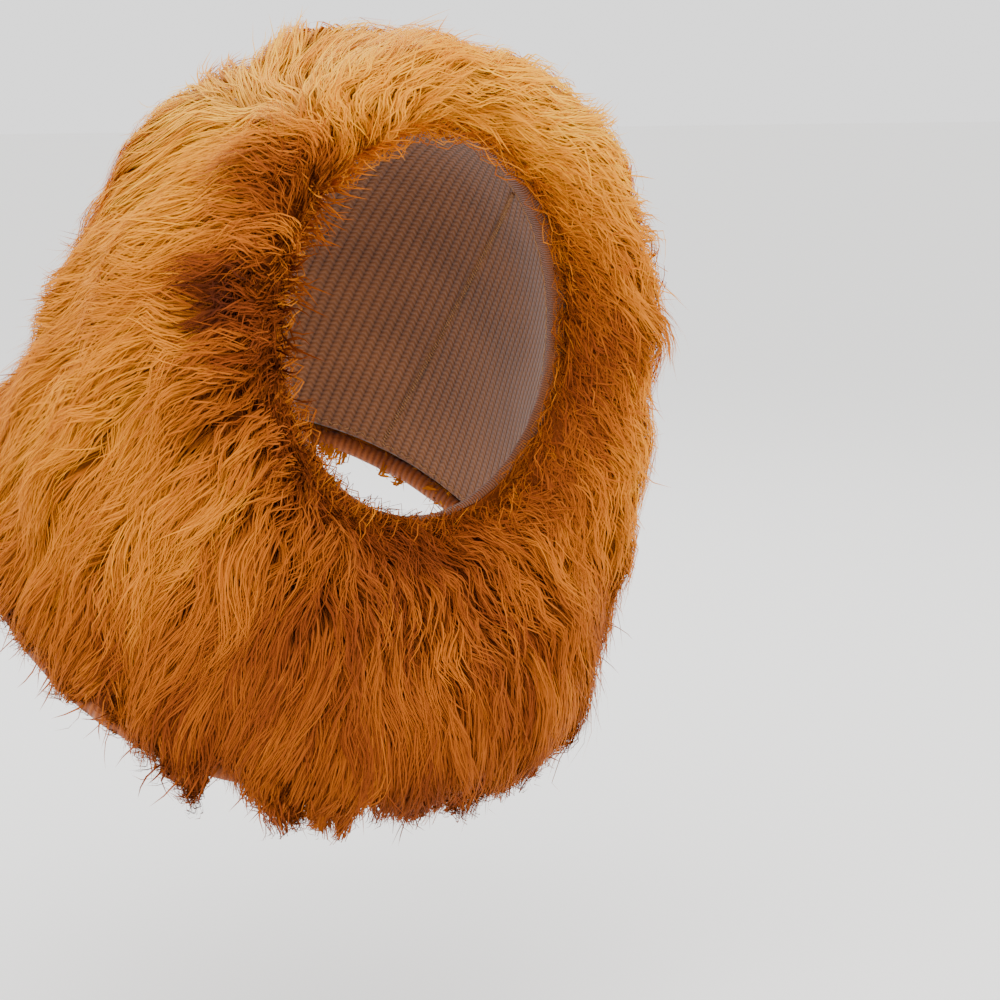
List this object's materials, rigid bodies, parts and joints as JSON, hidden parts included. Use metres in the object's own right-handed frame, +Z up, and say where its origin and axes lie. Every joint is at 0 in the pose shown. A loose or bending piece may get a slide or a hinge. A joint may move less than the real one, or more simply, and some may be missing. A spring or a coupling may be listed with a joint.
{
  "type": "pet lion mane wig",
  "caption": "Pull-on costume mane for a large dog: a knitted hood open at the face and neck, covered in long wavy fur with a curly face ruff",
  "frame": {"origin": "the crown, where the inside of the hood sits on top of the wearer's head", "axes": "+Z up, the wearer faces -Y and looks out of the face opening, its left side is +X, and the nape slopes down towards +Y"},
  "size_m": [0.3278, 0.3197, 0.3829],
  "materials": {
    "knit_backing": "dark brown stretch knit, ribbed, matt",
    "elastic_binding": "brown elastic binding, fine ribs, stitched",
    "rolled_hem": "reddish brown rolled cloth hem, matt",
    "auburn_fur": "short curly synthetic fur, dark auburn at the roots",
    "golden_fur": "long wavy synthetic fur, golden brown with pale tips",
    "chest_fur": "long wavy synthetic fur, orange brown"
  },
  "bodies": {
    "root": {"backing_hood": "knit_backing", "face_binding": "elastic_binding", "neck_hem": "rolled_hem", "face_ruff": "auburn_fur", "crown_fur": "golden_fur", "nape_fur": "golden_fur", "left_side_fur": "golden_fur", "right_side_fur": "golden_fur", "chest_fur": "chest_fur"}
  },
  "joints": []
}
